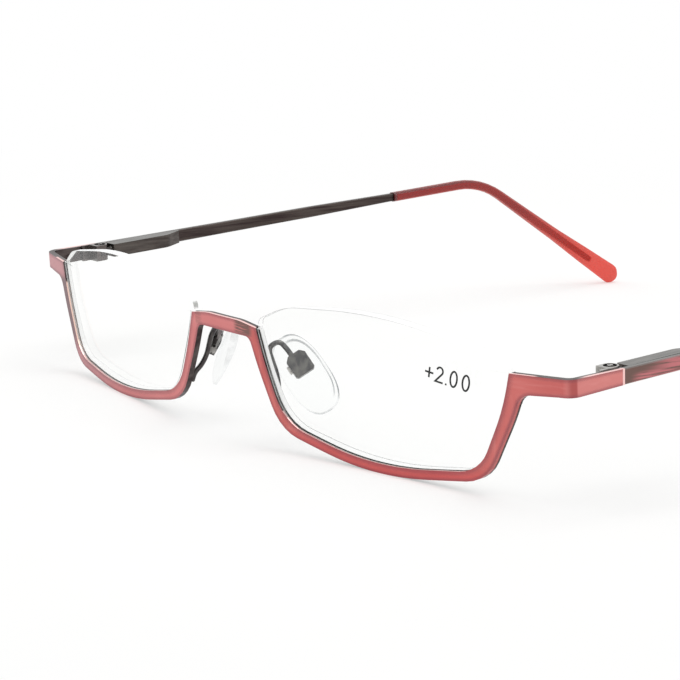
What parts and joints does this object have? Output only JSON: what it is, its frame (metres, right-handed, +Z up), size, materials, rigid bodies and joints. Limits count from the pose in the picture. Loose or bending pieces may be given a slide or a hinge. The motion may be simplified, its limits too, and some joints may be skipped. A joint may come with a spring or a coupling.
{
  "type": "half-frame reading glasses",
  "caption": "Half-frame reading glasses with grooved metal under-rims, free-topped lenses, folding spring-hinged temples, plastic tips and rocking nose pads.",
  "frame": {"origin": "middle of the underside of the open glasses, on the surface they stand on", "axes": "+X to the wearer's left, +Y backwards along the temples, +Z up"},
  "size_m": [0.1354, 0.1546, 0.0249],
  "materials": {
    "front_metal": "satin rose-red lacquer over brushed metal, gunmetal on the back and the edges towards the nose",
    "temple_metal": "brushed gunmetal, with rose-red streaks on the outer face",
    "gunmetal": "dark satin plating",
    "hinge_metal": "grey satin nickel silver",
    "screw_steel": "bright machined steel",
    "lens": "clear polished lens plastic",
    "pad_silicone": "clear soft silicone",
    "tip_plastic": "translucent red plastic over the metal core"
  },
  "bodies": {
    "front": {"front_frame": "front_metal", "lens_left": "lens", "lens_right": "lens", "front_hinge_left": "hinge_metal", "front_hinge_right": "hinge_metal", "hinge_screw_left": "screw_steel", "hinge_screw_right": "screw_steel", "pad_arm_left": "gunmetal", "pad_arm_right": "gunmetal", "pad_box_left": "gunmetal", "pad_box_right": "gunmetal", "pad_screw_left": "screw_steel", "pad_screw_right": "screw_steel"},
    "slide_left": {"carriage_left": "hinge_metal", "end_nut_left": "screw_steel"},
    "temple_left": {"temple_left": "temple_metal", "temple_tip_left": "tip_plastic", "spring_housing_left": "gunmetal", "stop_bush_left": "screw_steel", "spring_left": "screw_steel"},
    "pad_left": {"nose_pad_left": "pad_silicone"},
    "slide_right": {"carriage_right": "hinge_metal", "end_nut_right": "screw_steel"},
    "temple_right": {"temple_right": "temple_metal", "temple_tip_right": "tip_plastic", "spring_housing_right": "gunmetal", "stop_bush_right": "screw_steel", "spring_right": "screw_steel"},
    "pad_right": {"nose_pad_right": "pad_silicone"}
  },
  "joints": [
    {"name": "fold_left", "type": "hinge", "parent": "front", "child": "slide_left", "pos_m": [0.0648, -0.05623, 0.01858], "axis": [0, -0.0615, 0.9981], "range_deg": [0, 90]},
    {"name": "flex_left", "type": "slide", "parent": "slide_left", "child": "temple_left", "axis": [0, 0.9981, 0.0615], "range_m": [0, 0.0012], "stiffness_N_per_m": 1000, "springref_m": -0.002, "deforming": ["spring_left"]},
    {"name": "pad_rock_left", "type": "hinge", "parent": "front", "child": "pad_left", "pos_m": [0.01085, -0.07014, 0.01247], "axis": [0.3828, 0.7495, 0.5401], "range_deg": [-8, 8]},
    {"name": "fold_right", "type": "hinge", "parent": "front", "child": "slide_right", "pos_m": [-0.0648, -0.05623, 0.01858], "axis": [0, 0.0615, -0.9981], "range_deg": [0, 85]},
    {"name": "flex_right", "type": "slide", "parent": "slide_right", "child": "temple_right", "axis": [0, 0.9981, 0.0615], "range_m": [0, 0.0012], "stiffness_N_per_m": 1000, "springref_m": -0.002, "deforming": ["spring_right"]},
    {"name": "pad_rock_right", "type": "hinge", "parent": "front", "child": "pad_right", "pos_m": [-0.01085, -0.07014, 0.01247], "axis": [-0.3828, 0.7495, 0.5401], "range_deg": [-8, 8]}
  ]
}
